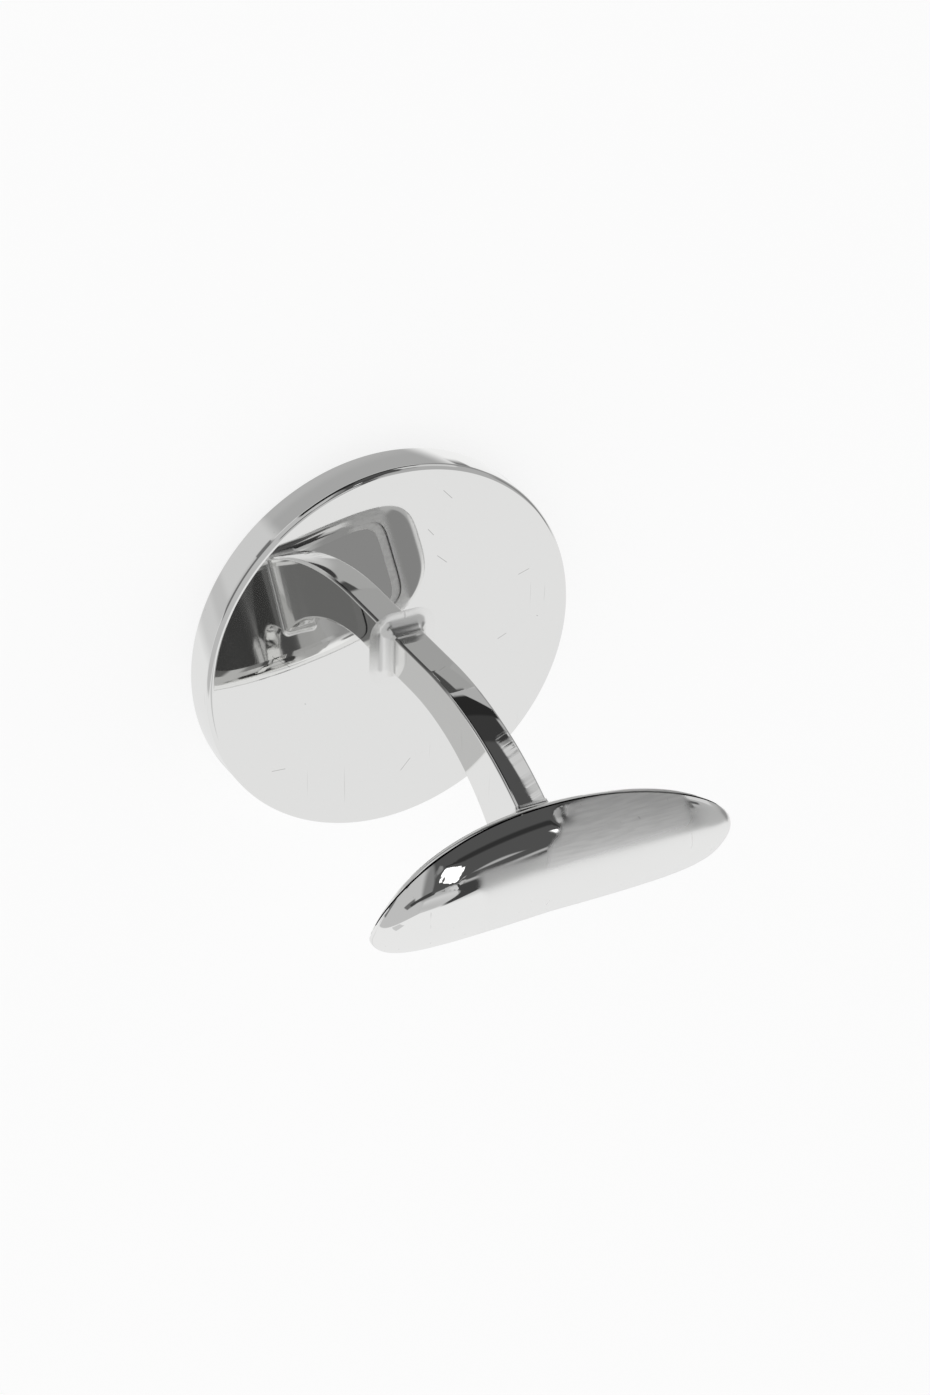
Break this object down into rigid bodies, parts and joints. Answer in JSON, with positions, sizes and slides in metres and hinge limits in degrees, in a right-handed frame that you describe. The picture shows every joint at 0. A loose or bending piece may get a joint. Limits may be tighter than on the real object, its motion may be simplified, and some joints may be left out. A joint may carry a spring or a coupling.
{
  "type": "fixed-back cufflink",
  "caption": "Rigid cufflink with a round polished head, a curved flat-sided post that flares and a curved bean-shaped foot that passes through a cuff's buttonholes.",
  "frame": {"origin": "centre of the head's flat front face, which the part rests on", "axes": "+Z from the head's front face towards the foot; +X to the side the post bends to; Y along the foot's length"},
  "size_m": [0.018, 0.018, 0.017],
  "materials": {
    "head_polish": "mirror-polished silver-tone metal",
    "face_polish": "mirror-polished silver-tone metal",
    "solder": "silver-tone solder polished over",
    "film": "dull grey solder film",
    "post_polish": "mirror-polished silver-tone metal with fine wear",
    "foot_polish": "polished silver-tone metal with brushed marks round the sink mark",
    "plate_polish": "polished silver-tone metal"
  },
  "bodies": {
    "root": {"face_disc": "face_polish", "face_film": "film", "head_cup": "head_polish", "head_solder": "solder", "curved_post": "post_polish", "foot_plate": "plate_polish", "foot_solder": "solder", "foot_shell": "foot_polish"}
  },
  "joints": []
}
